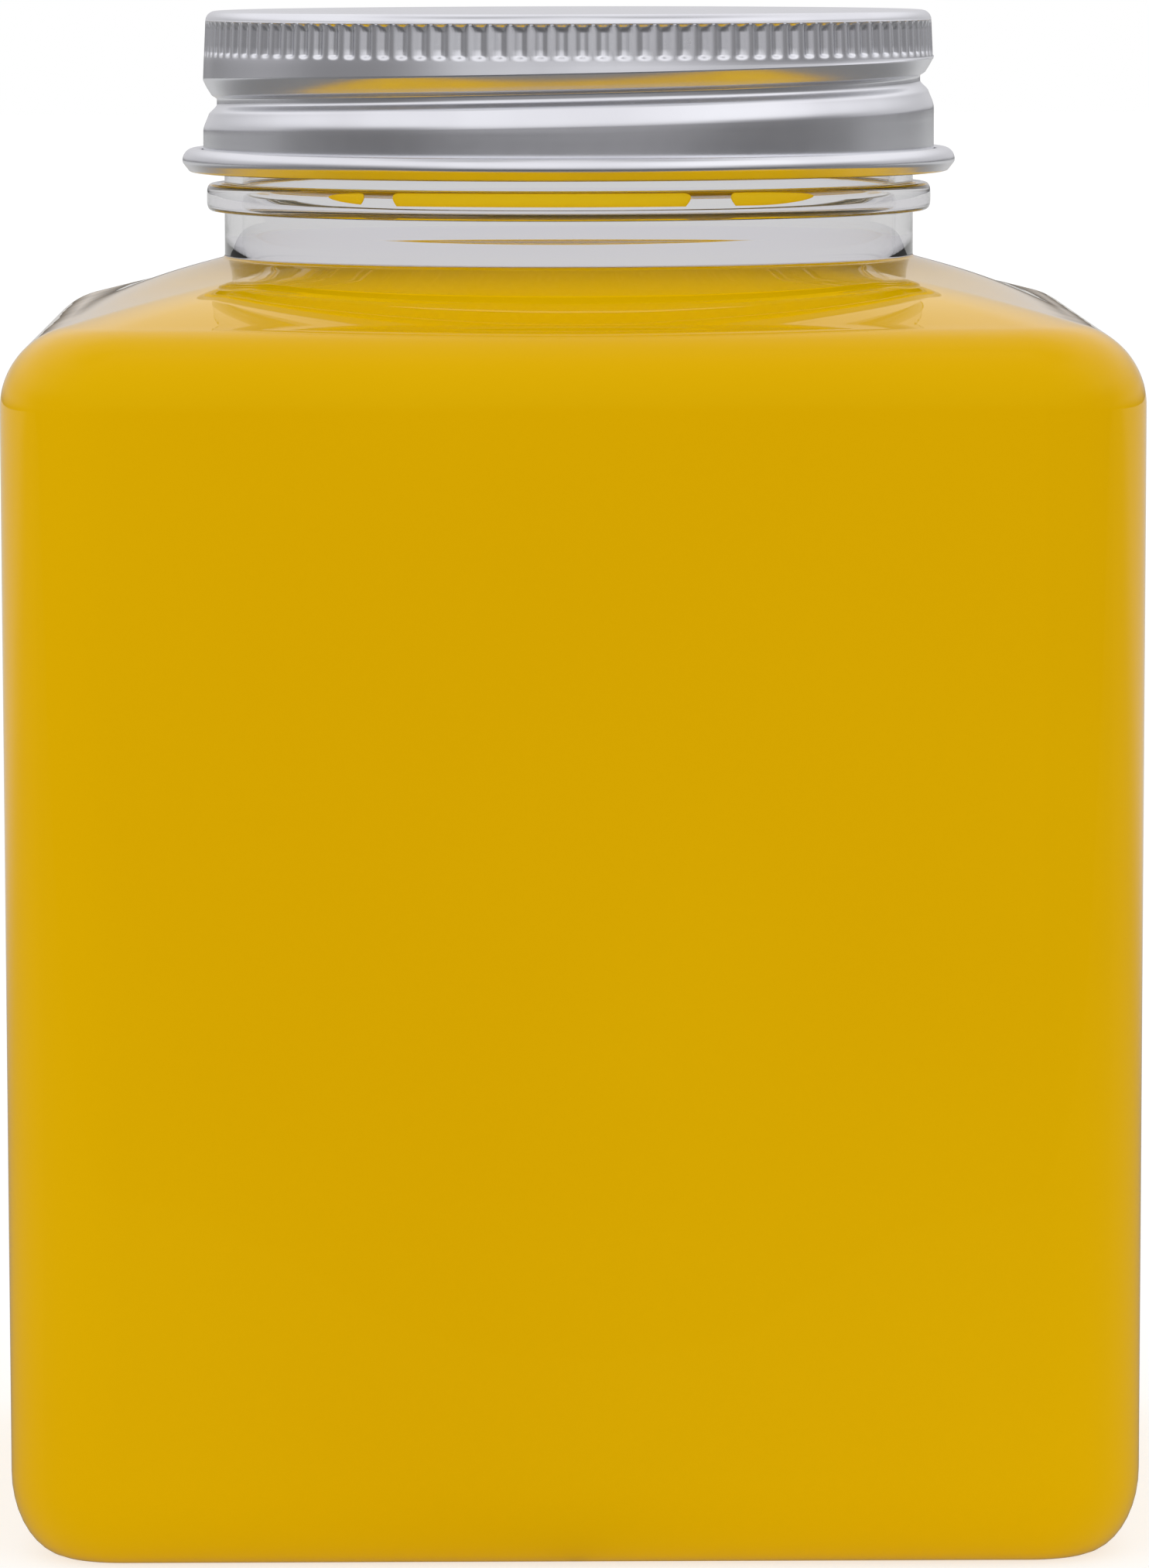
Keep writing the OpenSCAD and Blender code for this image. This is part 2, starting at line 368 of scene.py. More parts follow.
@dataclass(frozen=True)
class RolledAluminium:
    """Satin sheet with the fine rolling lines that run round a spun lid."""

    base: tuple[float, float, float, float] = (0.83, 0.84, 0.875, 1.0)
    worn: tuple[float, float, float, float] = (0.77, 0.775, 0.81, 1.0)
    roughness: float = 0.19
    roughness_spread: float = 0.1
    line_stretch: tuple[float, float, float] = (12.0, 12.0, 700.0)
    line_detail: float = 2.0
    line_reach: float = 0.000004
    grain_scale: float = 600.0
    grain_detail: float = 3.0
    grain_part: float = 0.4
    patch_scale: float = 60.0
    rough_run: tuple[float, float] = (0.3, 0.7)
    worn_run: tuple[float, float] = (0.35, 0.7)

    def build(self) -> bpy.types.Material:
        """Returns the material."""
        made, graph = new_material("rolled_aluminium")
        place = graph.place()
        lines = graph.noise(graph.scaled(place, self.line_stretch), 1.0, self.line_detail)
        grain = graph.noise(place, self.grain_scale, self.grain_detail)
        patches = graph.noise(place, self.patch_scale, self.grain_detail)
        uneven = patches.step(*self.rough_run) * (1.0 - self.grain_part) + grain * self.grain_part
        graph.surface(graph.principled(
            Base_Color=graph.colour(patches.step(*self.worn_run), self.base, self.worn),
            Metallic=1.0, Roughness=self.roughness + uneven * self.roughness_spread,
            Normal=graph.bump(lines, self.line_reach)))
        return made


@dataclass(frozen=True)
class SealFoam:
    """White closed-cell foam of the wad."""

    base: tuple[float, float, float, float] = (0.86, 0.86, 0.84, 1.0)
    cell: tuple[float, float, float, float] = (0.74, 0.74, 0.71, 1.0)
    roughness: float = 0.75
    cell_scale: float = 1500.0
    cell_run: tuple[float, float] = (0.1, 0.6)
    cell_reach: float = 0.00006

    def build(self) -> bpy.types.Material:
        """Returns the material."""
        made, graph = new_material("seal_foam")
        cells = graph.wire("ShaderNodeTexVoronoi", None,
                           {"Vector": graph.place(), "Scale": self.cell_scale})
        graph.surface(graph.principled(
            Base_Color=graph.colour(cells.step(*self.cell_run), self.base, self.cell),
            Roughness=self.roughness, Normal=graph.bump(cells, self.cell_reach)))
        return made


class Skin:
    """A closed skin that grows ring by ring out of one circle of vertices."""

    def __init__(self, count: int) -> None:
        """Starts with a circle of count vertices."""
        self.mesh = bmesh.new()
        made = bmesh.ops.create_circle(self.mesh, segments=count, radius=1.0)
        self.ring: list[bmesh.types.BMVert] = list(made["verts"])
        self.first: list[bmesh.types.BMVert] = []

    def _extrude(self, ring: list[bmesh.types.BMVert]) -> list[bmesh.types.BMVert]:
        """Extrudes a ring's edges once and returns the new ring in the same order."""
        index = {vertex: i for i, vertex in enumerate(ring)}
        pairs = zip(ring, ring[1:] + ring[:1])
        edges = [self.mesh.edges.get(pair) for pair in pairs]
        made = bmesh.ops.extrude_edge_only(self.mesh, edges=edges)
        fresh: list[bmesh.types.BMVert] = [ring[0]] * len(ring)
        for vertex in made["geom"]:
            if isinstance(vertex, bmesh.types.BMVert):
                for edge in vertex.link_edges:
                    old = index.get(edge.other_vert(vertex))
                    if old is not None:
                        fresh[old] = vertex
        return fresh

    def grow(self, points: Sequence[Vector]) -> None:
        """Puts the next ring at points given in millimetres."""
        if self.first:
            self.ring = self._extrude(self.ring)
        else:
            self.first = self.ring
        for vertex, point in zip(self.ring, points):
            vertex.co = point * MM

    def thin(self, keep: int) -> None:
        """Welds each run of keep vertices of the open ring into its first one."""
        target = {vertex: self.ring[i - i % keep]
                  for i, vertex in enumerate(self.ring) if i % keep}
        bmesh.ops.weld_verts(self.mesh, targetmap=target)
        self.ring = self.ring[::keep]

    def close(self, first_z: float, last_z: float) -> None:
        """Closes both open rings into points on the axis, at heights in millimetres."""
        for ring, z in ((self.first, first_z), (self.ring, last_z)):
            centre = Vector((0.0, 0.0, z)) * MM
            tip = self._extrude(ring)
            for vertex in tip:
                vertex.co = centre
            bmesh.ops.pointmerge(self.mesh, verts=tip, merge_co=centre)

    def join(self) -> None:
        """Bridges the two open rings, so that the skin goes round in a hoop."""
        edges = [self.mesh.edges.get(pair) for ring in (self.first, self.ring)
                 for pair in zip(ring, ring[1:] + ring[:1])]
        bmesh.ops.bridge_loops(self.mesh, edges=edges)

    def finish(self, name: str, body: Body, slot: Slot, finishes: Sequence[bpy.types.Material],
               paint: Callable[[Vector], int] | None = None) -> bpy.types.Object:
        """Turns the skin into a piece of the object.

        Args:
            name: the piece's name.
            body: the body that it rides on.
            slot: the record's material slot; not used.
            finishes: its materials.
            paint: gives the material's number from a face's middle in millimetres.

        Returns:
            The new object.
        """
        bmesh.ops.recalc_face_normals(self.mesh, faces=self.mesh.faces)
        for face in self.mesh.faces:
            face.smooth = True
            if paint is not None:
                face.material_index = paint(face.calc_center_median() / MM)
        data = bpy.data.meshes.new(name)
        self.mesh.to_mesh(data)
        self.mesh.free()
        for finish in finishes:
            data.materials.append(finish)
        made = bpy.data.objects.new(name, data)
        bpy.context.scene.collection.objects.link(made)
        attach(made, body.value)
        LOG.info("%s: %d faces", name, len(data.polygons))
        return made


@dataclass(frozen=True)
class Plan:
    """Directions that all rings of the jar share, dense at its four corners."""

    half: float
    corner: float
    per_corner: int = 24
    per_half_side: int = 14

    def directions(self) -> list[float]:
        """Returns the directions in radians, once round from the +X face's middle."""
        flat = self.half - self.corner
        quarter: list[float] = []
        for i in range(self.per_half_side):
            quarter.append(math.atan2(flat * i / self.per_half_side, self.half))
        for i in range(self.per_corner):
            t = math.radians(90.0 * i / self.per_corner)
            quarter.append(math.atan2(flat + self.corner * math.sin(t),
                                      flat + self.corner * math.cos(t)))
        for i in range(self.per_half_side):
            along = flat * (1.0 - i / self.per_half_side)
            quarter.append(math.atan2(self.half, along))
        return [a + math.pi / 2 * q for q in range(4) for a in quarter]


def square_reach(direction: float, half: float, corner: float) -> float:
    """Distance from the axis to a rounded square.

    Args:
        direction: angle in radians.
        half: half the width across the flats.
        corner: radius of the corners.

    Returns:
        The distance along that direction.
    """
    c, s = abs(math.cos(direction)), abs(math.sin(direction))
    c, s = max(c, s), min(c, s)
    flat = half - corner
    if half * s / c <= flat:
        return half / c
    along = flat * (c + s)
    return along + math.sqrt(max(0.0, along * along - 2.0 * flat * flat + corner * corner))


@dataclass
class Helix:
    """The right-hand helix that the rolled groove and the moulded ridge share."""

    start_z: float
    lead: float = 4.23
    start_angle: float = 100.0
    groove_turn: float = 310.0
    groove_fade: float = 38.0
    ridge_turn: float = 300.0
    ridge_fade: float = 24.0

    def turned(self, direction: float) -> float:
        """Returns the degrees turned since the start, from a direction in radians."""
        return (math.degrees(direction) - self.start_angle) % 360.0

    def rise(self, turned: float) -> float:
        """Returns the rise after some degrees."""
        return self.lead * turned / 360.0

    def fade(self, turned: float, total: float, run: float) -> float:
        """Returns 0 at both ends of a thread form and 1 between them."""
        return ease(turned / run) * ease((total - turned) / run)

    def groove_z(self, turned: float) -> float:
        """Returns the middle height of the rolled groove."""
        if turned <= self.groove_turn:
            return self.start_z + self.rise(turned)
        back = (turned - self.groove_turn) / (360.0 - self.groove_turn)
        return self.start_z + self.rise(self.groove_turn) * (1.0 - ease(back))

    def groove_weight(self, turned: float) -> float:
        """Returns how far the groove is pressed in, from 0 to 1."""
        return self.fade(turned, self.groove_turn, self.groove_fade)


@dataclass
class Jar:
    """The blown jar and the liquid in it, with sizes taken from the frame."""

    helix: Helix
    half: float
    rim_z: float
    level_z: float
    base_half: float = 49.65
    corner: float = 10.0
    shoulder_r: float = 7.2
    shoulder_drop: float = 4.4
    slope_part: float = 0.6
    slope_bow: float = 0.35
    corner_part: float = 0.8
    foot_h: float = 7.5
    foot_w: float = 5.0
    foot_shares: tuple[float, ...] = (0.75, 0.4)
    wall: float = 0.9
    pushup_r: float = 30.5
    pushup_h: float = 4.0
    pushup_rings: tuple[float, ...] = (3.0, 9.0, 15.0, 20.0, 24.5, 28.0)
    neck_r: float = 31.35
    neck_wall: float = 1.6
    neck_h: float = 20.8
    neck_fillet: float = 0.35
    fillet_from: float = 10.0
    inner_root: float = 0.4
    bore_below: float = 0.2
    bead_r: float = 32.95
    bead_h: float = 2.5
    bead_z: float = 5.55
    bead_square: float = 0.6
    bead_root: tuple[tuple[float, float], ...] = ((0.0, 0.6), (0.0, 0.12), (0.0, 0.05), (0.03, 0.01))
    nose_run: tuple[float, float] = (-91.0, 89.0)
    rim_round: float = 0.5
    ridge_h: float = 1.0
    ridge_root: float = 1.1
    ridge_crest: float = 0.4
    thread_step: float = 1.45
    thread_below: float = 0.6
    dish: float = 0.9
    dish_low_z: float = 9.0
    dish_run: float = 30.0
    settled: float = 0.55
    wetting: float = 0.25
    root_in: float = 0.05
    edge_rise: tuple[tuple[float, float], ...] = (
        (1.4, 0.45), (0.8, 0.4), (0.15, 0.15), (-0.02, 0.1), (-0.25, 0.05), (-0.7, 0.01), (-1.6, 0.0))
    level_rings: tuple[float, ...] = (20.0, 8.0)
    free_below: float = 0.01
    trace_top: float = 6.75
    trace_width: float = 1.3
    trace_least: float = 0.1
    trace_out: float = 0.03
    trace_in: float = 0.06
    trace_count: int = 360
    facing_from: float = 0.55
    facing_run: float = 0.3
    nicks: tuple[tuple[float, float], ...] = ((-33.5, 3.4), (23.5, 4.3))
    nick_run: float = 1.2
    nick_depth: float = 0.6
    foot_steps: int = 10
    side_steps: int = 34
    turn_steps: int = 30
    slope_steps: int = 20
    fillet_steps: int = 7
    nose_steps: int = 30
    thread_steps: int = 34
    rim_steps: int = 5
    bore_steps: int = 8
    directions: list[float] = field(init=False)
    bore_r: float = field(init=False)
    root_z: float = field(init=False)
    edge_z: float = field(init=False)

    def __post_init__(self) -> None:
        """Works out the directions, the bore and the heights of the shoulder."""
        self.directions = Plan(self.half, self.corner).directions()
        self.bore_r = self.neck_r - self.neck_wall
        self.root_z = self.rim_z - self.neck_h
        self.edge_z = self.root_z - self.shoulder_drop

    def side_half(self, z: float) -> float:
        """Returns half the width across the flats at a height."""
        span = self.edge_z - self.shoulder_r - self.foot_h
        return between(self.base_half, self.half, min(1.0, max(0.0, (z - self.foot_h) / span)))

    def dent(self, direction: float, z: float) -> float:
        """Returns how far a flat side is drawn in at a place."""
        c, s = abs(math.cos(direction)), abs(math.sin(direction))
        across = self.half * min(c, s) / max(c, s) / (self.half - self.corner)
        if across >= 1.0:
            return 0.0
        top_z = self.edge_z - self.shoulder_r
        up = ease((z - self.dish_low_z) / self.dish_run) * ease((top_z - z) / self.dish_run)
        return self.dish * up * (1.0 - across * across) ** 2

    def square_ring(self, half: float, corner: float, z: float, dented: bool = False) -> list[Vector]:
        """Points of a rounded square ring.

        Args:
            half: half the width across the flats.
            corner: radius of its corners.
            z: height.
            dented: whether the flat sides are drawn in.

        Returns:
            One point for each direction.
        """
        points = []
        for a in self.directions:
            out = square_reach(a, half, corner)
            if dented:
                out -= self.dent(a, z) / max(abs(math.cos(a)), abs(math.sin(a)))
            points.append(at(out, a, z))
        return points

    def round_ring(self, r: float, z: float) -> list[Vector]:
        """Returns the points of a round ring."""
        return [at(r, a, z) for a in self.directions]

    def blended_ring(self, half: float, corner: float, r: float, share: float,
                     z: float) -> list[Vector]:
        """Points of a ring between a rounded square and a circle.

        Args:
            half: half the width of the square.
            corner: radius of its corners.
            r: radius of the circle.
            share: 0 for the square and 1 for the circle.
            z: height.

        Returns:
            One point for each direction.
        """
        return [at(between(square_reach(a, half, corner), r, share), a, z) for a in self.directions]

    def body_rings(self, inset: float, neck_r: float) -> list[list[Vector]]:
        """Rings of the body's skin, from the middle of the base up to the root of the neck.

        Args:
            inset: how far the skin lies inside the outer one.
            neck_r: radius at the root of the neck.

        Returns:
            The rings in order.
        """
        rings = [self.round_ring(r, self.pushup_z(r, inset)) for r in self.pushup_rings]
        foot_w, foot_h = self.foot_w - inset, self.foot_h - inset
        low_half = self.base_half - inset
        low_corner = self.corner - inset
        rings.append(self.round_ring(self.pushup_r + inset, inset))
        for share in self.foot_shares:
            rings.append(self.blended_ring(low_half - foot_w, low_corner - foot_w,
                                           self.pushup_r + inset, share, inset))
        rings.append(self.square_ring(low_half - foot_w, low_corner - foot_w, inset))
        for w, z in arc(0.0, self.foot_h, foot_w, foot_h, -90.0, 0.0, self.foot_steps):
            rings.append(self.square_ring(low_half - foot_w + w, low_corner - foot_w + w, z))
        top_z = self.edge_z - self.shoulder_r
        for z in spaced(self.foot_h, top_z, self.side_steps):
            rings.append(self.square_ring(self.side_half(z) - inset, self.corner - inset, z, True))
        return rings + self.shoulder_rings(inset, neck_r)

    def shoulder_rings(self, inset: float, neck_r: float) -> list[list[Vector]]:
        """Rings of the rounding and the slope of the shoulder.

        Args:
            inset: how far the skin lies inside the outer one.
            neck_r: radius at the root of the neck.

        Returns:
            The rings in order.
        """
        turn_r = self.shoulder_r - inset
        slope = math.degrees(math.atan2(self.shoulder_drop, self.half - self.shoulder_r - neck_r))
        centre_z = self.edge_z - self.shoulder_r
        stop = 90.0 - self.slope_part * slope
        half, corner, z = self.half, self.corner, centre_z
        rings = []
        for w, z in arc(-turn_r, centre_z, turn_r, turn_r, 0.0, stop, self.turn_steps):
            half, corner = self.half - inset + w, self.corner - inset + w * self.corner_part
            rings.append(self.square_ring(half, corner, z))
        for share in spaced(0.0, 1.0, self.slope_steps):
            level = between(z, self.root_z - inset, share) + self.slope_bow * math.sin(math.pi * share)
            rings.append(self.blended_ring(half, corner, neck_r, share, level))
        return rings

    def pushup_z(self, r: float, inset: float) -> float:
        """Returns the height of the push-up's dome at a distance from the axis."""
        rise, reach = self.pushup_h, self.pushup_r + inset
        ball = (reach * reach + rise * rise) / (2.0 * rise)
        return inset + rise - ball + math.sqrt(ball * ball - r * r)

    def ridge_out(self, direction: float, z: float) -> float:
        """Returns how far the moulded ridge stands out of the neck at a place."""
        turned = self.helix.turned(direction)
        if turned > self.helix.ridge_turn:
            return 0.0
        full = self.helix.fade(turned, self.helix.ridge_turn, self.helix.ridge_fade)
        away = abs(z - self.helix.start_z - self.thread_step - self.helix.rise(turned))
        flank = (self.ridge_root - away) / (self.ridge_root - self.ridge_crest)
        return self.ridge_h * full * min(1.0, max(0.0, flank))

    def neck_profile(self) -> list[tuple[float, float]]:
        """Returns the outer half section of the neck, from its root up to the thread."""
        fillet = self.neck_fillet
        turns = [math.radians(d) for d in spaced(self.fillet_from, 90.0, self.fillet_steps)]
        points = [(self.neck_r + fillet * (1.0 - math.sin(t)),
                   self.root_z + fillet * (1.0 - math.cos(t))) for t in turns]
        middle, half_out, half_h = self.root_z + self.bead_z, (self.bead_r - self.neck_r) / 2, self.bead_h / 2
        points += [(self.neck_r + out, middle - half_h - away) for out, away in self.bead_root]
        points += [(self.neck_r + half_out * (1.0 + abs(x) ** self.bead_square),
                    middle + half_h * math.copysign(abs(z) ** self.bead_square, z))
                   for x, z in arc(0.0, 0.0, 1.0, 1.0, *self.nose_run, self.nose_steps)]
        points += [(self.neck_r + out, middle + half_h + away) for out, away in reversed(self.bead_root)]
        return points

    def build_shell(self, finish: bpy.types.Material) -> bpy.types.Object:
        """Returns the clear shell: outside, rim and inside in one closed skin."""
        skin = Skin(len(self.directions))
        root_r = self.neck_r + self.neck_fillet * (1.0 - math.sin(math.radians(self.fillet_from)))
        for ring in self.body_rings(0.0, root_r):
            skin.grow(ring)
        for r, z in self.neck_profile():
            skin.grow(self.round_ring(r, z))
        turn, turn_z = self.rim_round, self.rim_z - self.rim_round
        for z in spaced(self.helix.start_z - self.thread_below, turn_z, self.thread_steps):
            skin.grow([at(self.neck_r + self.ridge_out(a, z), a, z) for a in self.directions])
        section = arc(self.neck_r - turn, turn_z, turn, turn, 0.0, 90.0, self.rim_steps)
        section.append((self.bore_r + turn, self.rim_z))
        section += arc(self.bore_r + turn, turn_z, turn, turn, 90.0, 180.0, self.rim_steps)
        section += [(self.bore_r, z) for z in spaced(turn_z, self.root_z - self.bore_below, self.bore_steps)]
        for r, z in section:
            skin.grow(self.round_ring(r, z))
        for ring in reversed(self.body_rings(self.wall, self.bore_r + self.inner_root)):
            skin.grow(ring)
        skin.close(self.pushup_z(0.0, 0.0), self.pushup_z(0.0, self.wall))
        made = skin.finish("jar_shell", Body.JAR, Slot.CLEAR, [finish])
        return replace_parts(made, "jar")

    def build_liquid(self, finish: YellowLiquid) -> bpy.types.Object:
        """Returns the contents, whose sides lie within the wall so that no air shows between."""
        skin = Skin(len(self.directions))
        for ring in self.body_rings(self.wetting, self.neck_r - self.root_in):
            skin.grow(ring)
        level = self.level_z - self.settled
        for out, rise in self.edge_rise:
            skin.grow(self.round_ring(self.bore_r + out, level + rise))
        for r in self.level_rings:
            skin.grow(self.round_ring(r, level))
        skin.close(self.pushup_z(0.0, self.wetting), level)
        free_z = level - self.free_below
        made = skin.finish("liquid_fill", Body.JAR, Slot.LIQUID, [finish.wetted(), finish.free()],
                           lambda middle: int(middle.z > free_z))
        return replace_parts(made, "liquid")

    def trace_low(self, direction: float) -> float:
        """Returns the lower edge of the trace of liquid behind the ring bead."""
        facing = ease((-math.sin(direction) - self.facing_from) / self.facing_run)
        from_front = math.degrees(direction) + 90.0
        nick = 0.0
        for middle, reach in self.nicks:
            away = abs((from_front - middle + 180.0) % 360.0 - 180.0)
            nick = max(nick, ease((reach - away) / self.nick_run))
        share = between(self.trace_least, 1.0, facing) * (1.0 - self.nick_depth * nick)
        return self.root_z + self.trace_top - self.trace_width * share

    def build_trace(self, finish: YellowLiquid) -> bpy.types.Object:
        """Returns the thin ring of liquid that clings inside the neck behind the bead."""
        directions = [math.tau * i / self.trace_count for i in range(self.trace_count)]
        top_z = self.root_z + self.trace_top
        skin = Skin(self.trace_count)
        for out, shares in ((-self.trace_in, (0.0, 0.5, 1.0)), (self.trace_out, (1.0, 0.5, 0.0))):
            for share in shares:
                skin.grow([at(self.bore_r + out, a, between(self.trace_low(a), top_z, share))
                           for a in directions])
        skin.join()
        return skin.finish("liquid_trace", Body.JAR, Slot.LIQUID, [finish.thin()])


@dataclass
class Lid:
    """The aluminium pressing, with its flutes, rolled thread and curled rim."""

    helix: Helix
    top_z: float
    outer_r: float = 33.25
    sheet: float = 0.3
    edge_r: float = 0.9
    panel_rings: tuple[float, ...] = (6.0, 14.0, 22.0, 28.0)
    panel_edge: float = 0.6
    inner_rings: tuple[float, ...] = (28.0, 14.0)
    flutes: int = 114
    flute_depth: float = 0.3
    flute_top_z: float = 134.15
    flute_h: float = 3.2
    flute_share: float = 0.36
    flute_power: float = 1.5
    flute_foot: float = 0.45
    flute_head: float = 0.3
    flute_down: tuple[float, ...] = (0.0, 0.1, 0.2, 0.3, 0.8, 1.5, 2.2)
    flute_up: tuple[float, ...] = (0.45, 0.36, 0.27, 0.18, 0.09, 0.0)
    band_flare: float = 0.14
    skirt_flare: float = 0.1
    under_band: tuple[tuple[float, float], ...] = ((0.9, 0.12), (0.7, 0.4))
    plain_shares: tuple[float, ...] = (0.3, 0.6, 0.9)
    inner_below: float = 0.5
    band_inner_r: float = 32.45
    groove_depth: float = 1.25
    above: float = 2.1
    below: float = 2.6
    flank_run: float = 1.35
    flank_part: float = 0.6
    flank_slow: float = 0.72
    wall_run: float = 0.4
    lip_start: float = 0.1
    lip_run: float = 0.95
    lip_part: float = 0.52
    roll_start: float = 0.5
    spread_least: float = 0.35
    curl_r: float = 1.1
    curl_z: float = 121.5
    curl_opening: float = 120.0
    curl_flat: float = 0.9
    curl_flat_at: float = -38.0
    slant_least: float = 0.1
    skirt_low_z: float = 122.82
    fine: tuple[float, ...] = (-0.5, -0.36, -0.24, -0.12, 0.0, 0.12, 0.24, 0.36)
    keep: int = 4
    edge_steps: int = 8
    inner_steps: int = 4
    groove_steps: int = 44
    hollow_steps: int = 12
    curl_steps: int = 44

    def directions(self) -> list[float]:
        """Returns the directions of the fluted columns, dense across each flute."""
        pitch = math.tau / self.flutes
        return [(k + share) * pitch for k in range(self.flutes) for share in self.fine]

    def flute_in(self, column: int, z: float) -> float:
        """Returns how far a column is pressed in by its flute at a height."""
        across = abs(self.fine[column % len(self.fine)]) / self.flute_share
        if across >= 1.0:
            return 0.0
        low, high = self.flute_top_z - self.flute_h, self.flute_top_z
        ends = ease((z - low) / self.flute_foot) * ease((high - z) / self.flute_head)
        return self.flute_depth * ends * math.cos(math.pi / 2 * across) ** self.flute_power

    def pressed(self, h: float) -> float:
        """Returns the share of the groove's depth at a height over its middle."""
        down = min(1.0, max(0.0, (self.above - h) / self.flank_run))
        flank = down * between(self.flank_slow, 1.0, down)
        wall = ease((self.above - self.flank_run - h) / self.wall_run)
        lip = ease((-self.lip_start - h) / self.lip_run)
        roll = ease((-self.roll_start - h) / (self.below - self.roll_start))
        inwards = self.flank_part * flank + (1.0 - self.flank_part) * wall
        return inwards - self.lip_part * lip - (1.0 - self.lip_part) * roll

    def groove_rows(self, direction: float, r: float) -> list[Vector]:
        """Points down one line of the skirt, through the rolled groove.

        Args:
            direction: angle in radians.
            r: radius of the plain skirt.

        Returns:
            The points, going down.
        """
        turned = self.helix.turned(direction)
        mid = self.helix.groove_z(turned)
        weight = self.helix.groove_weight(turned)
        spread = between(self.spread_least, 1.0, weight)
        rows = []
        for h in [self.above] + spaced(self.above, -self.below, self.groove_steps):
            rows.append((r - self.groove_depth * weight * self.pressed(h), mid + h * spread))
        low = rows[-1][1]
        rows += [(r, z) for z in spaced(low, self.skirt_low_z, self.inner_steps)]
        return [at(out, direction, z) for out, z in rows]

    def ring(self, directions: Sequence[float], r: float, z: float) -> list[Vector]:
        """Returns the points of a plain round ring."""
        return [at(r, a, z) for a in directions]

    def build(self, finish: bpy.types.Material) -> bpy.types.Object:
        """Returns the whole pressing as one closed sheet."""
        fine = self.directions()
        skin = Skin(len(fine))
        edge_mid = self.outer_r - self.skirt_flare - self.band_flare - self.edge_r
        edge_z = self.top_z - self.edge_r
        for r in self.panel_rings + (edge_mid - self.panel_edge, edge_mid):
            skin.grow(self.ring(fine, r, self.top_z))
        for r, z in arc(edge_mid, edge_z, self.edge_r, self.edge_r, 90.0, 0.0, self.edge_steps):
            skin.grow(self.ring(fine, r, z))
        low = self.flute_top_z - self.flute_h
        heights = [self.flute_top_z - s for s in self.flute_down] + [low + s for s in self.flute_up]
        for z in heights:
            wall_r = self.outer_r - self.skirt_flare - self.band_flare * (z - low) / self.flute_h
            skin.grow([at(wall_r - self.flute_in(i, z), a, z) for i, a in enumerate(fine)])
        (first_r, first_z), (next_r, next_z) = [
            (self.outer_r - self.skirt_flare * part, low - down) for part, down in self.under_band]
        skin.grow(self.ring(fine, first_r, first_z))
        coarse = fine[::self.keep]
        skin.grow(self.ring([coarse[i // self.keep] for i in range(len(fine))], next_r, next_z))
        skin.thin(self.keep)
        rows = list(zip(*[self.groove_rows(a, self.outer_r) for a in coarse]))
        start = self.ring(coarse, next_r, next_z)
        for share in self.plain_shares:
            skin.grow([a.lerp(b, share) for a, b in zip(start, rows[0])])
        for row in rows:
            skin.grow(row)
        self._curl(skin, coarse)
        inner = list(zip(*[self.groove_rows(a, self.outer_r - self.sheet) for a in coarse]))
        for row in reversed(inner):
            skin.grow(row)
        turn = self.edge_r - self.sheet
        section = [(self.band_inner_r, z) for z in spaced(low - self.inner_below, edge_z, self.inner_steps)]
        section += arc(self.band_inner_r - turn, edge_z, turn, turn, 0.0, 90.0, self.inner_steps)
        section += [(r, self.top_z - self.sheet) for r in self.inner_rings]
        for r, z in section:
            skin.grow(self.ring(coarse, r, z))
        skin.close(self.top_z, self.top_z - self.sheet)
        made = skin.finish("lid_cap", Body.LID, Slot.METAL, [finish])
        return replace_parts(made, "lid")

    def _curl(self, skin: Skin, directions: Sequence[float]) -> None:
        """Grows the curled rim: in along its hollow side, round its end and back outside."""
        mid_r = self.outer_r - self.sheet + self.curl_r
        hollow = self.curl_r - self.sheet
        skin.grow(self.ring(directions, self.outer_r, self.curl_z))
        section = arc(mid_r, self.curl_z, hollow, hollow, -180.0, self.curl_opening, self.hollow_steps)
        end = math.radians(self.curl_opening)
        for reach in (self.curl_r - self.sheet / 2, self.curl_r):
            section.append((mid_r + reach * math.cos(end), self.curl_z + reach * math.sin(end)))
        for t in spaced(self.curl_opening, -180.0, self.curl_steps):
            slant = max(self.slant_least, math.cos(math.radians(t - self.curl_flat_at)))
            reach, turn = min(self.curl_r, self.curl_flat * self.curl_r / slant), math.radians(t)
            section.append((mid_r + reach * math.cos(turn), self.curl_z + reach * math.sin(turn)))
        for r, z in section:
            skin.grow(self.ring(directions, r, z))


@dataclass
class Wad:
    """The foam disc that seals the lid on the rim of the neck."""

    low_z: float
    high_z: float
    r: float
    edge: float = 0.15
    low_shares: tuple[float, ...] = (0.3, 0.6, 0.85, 0.95)
    high_shares: tuple[float, ...] = (0.85, 0.5, 0.2)
    edge_steps: int = 4
    count: int = 160

    def build(self, finish: bpy.types.Material) -> bpy.types.Object:
        """Returns the disc with its soft edges."""
        skin = Skin(self.count)
        directions = [math.tau * i / self.count for i in range(self.count)]
        edge, mid_r = self.edge, self.r - self.edge
        section = [(self.r * share, self.low_z) for share in self.low_shares]
        section.append((mid_r, self.low_z))
        section += arc(mid_r, self.low_z + edge, edge, edge, -90.0, 0.0, self.edge_steps)
        section.append((self.r, self.high_z - edge))
        section += arc(mid_r, self.high_z - edge, edge, edge, 0.0, 90.0, self.edge_steps)
        section += [(self.r * share, self.high_z) for share in self.high_shares]
        for r, z in section:
            skin.grow([at(r, a, z) for a in directions])
        skin.close(self.low_z, self.high_z)
        made = skin.finish("foam_wad", Body.WAD, Slot.FOAM, [finish])
        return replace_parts(made, "lid_liner")


